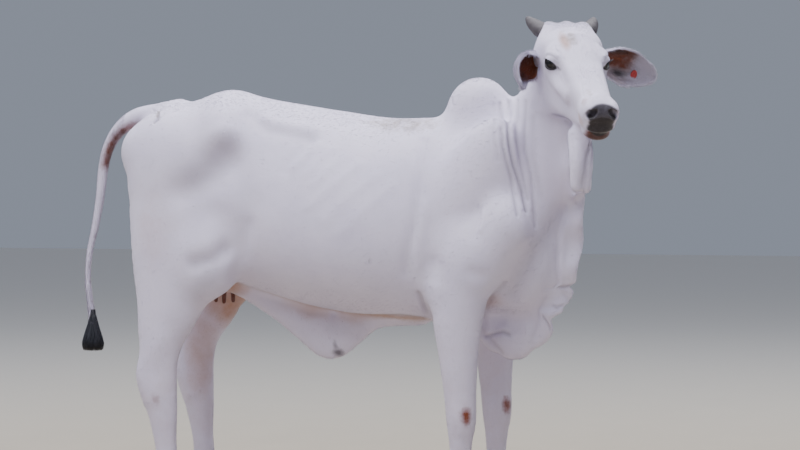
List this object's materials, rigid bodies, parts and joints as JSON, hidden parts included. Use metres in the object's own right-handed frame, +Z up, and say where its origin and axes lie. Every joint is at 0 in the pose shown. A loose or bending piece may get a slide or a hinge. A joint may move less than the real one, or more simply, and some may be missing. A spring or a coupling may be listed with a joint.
{
  "type": "nelore cow",
  "caption": "Life-size standing nelore cow with a shoulder hump, dewlap, drooping ears and short horns, head turned to its right.",
  "frame": {"origin": "on the floor under the middle of the whole animal's box", "axes": "+X forward along the body, +Y to its left, +Z up"},
  "size_m": [1.887, 0.6693, 1.6368],
  "materials": {
    "coat": "short grey-white hair over loose skin",
    "claw": "dark hoof horn, worn dull",
    "horn": "grey-brown horn, dull and ringed",
    "eye": "wet and near black",
    "switch_hair": "long blue-black hair",
    "tag": "moulded red plastic"
  },
  "bodies": {
    "root": {"torso": "coat", "hump": "coat", "neck": "coat", "dewlap": "coat", "head": "coat", "ear_left": "coat", "ear_right": "coat", "ear_tag": "tag", "eye_left": "eye", "eye_right": "eye", "horn_left": "horn", "horn_right": "horn", "tail_root": "coat", "tail_middle": "coat", "tail_end": "coat", "tail_switch": "switch_hair", "udder": "coat", "navel_fold": "coat", "foreleg_left_upper": "coat", "foreleg_left_lower": "coat", "foreleg_right_upper": "coat", "foreleg_right_lower": "coat", "hindleg_left_upper": "coat", "hindleg_left_lower": "coat", "hindleg_right_upper": "coat", "hindleg_right_lower": "coat", "claw_foreleg_left_inner": "claw", "dewclaw_foreleg_left_inner": "claw", "claw_foreleg_left_outer": "claw", "dewclaw_foreleg_left_outer": "claw", "claw_foreleg_right_inner": "claw", "dewclaw_foreleg_right_inner": "claw", "claw_foreleg_right_outer": "claw", "dewclaw_foreleg_right_outer": "claw", "claw_hindleg_left_inner": "claw", "dewclaw_hindleg_left_inner": "claw", "claw_hindleg_left_outer": "claw", "dewclaw_hindleg_left_outer": "claw", "claw_hindleg_right_inner": "claw", "dewclaw_hindleg_right_inner": "claw", "claw_hindleg_right_outer": "claw", "dewclaw_hindleg_right_outer": "claw"}
  },
  "joints": []
}
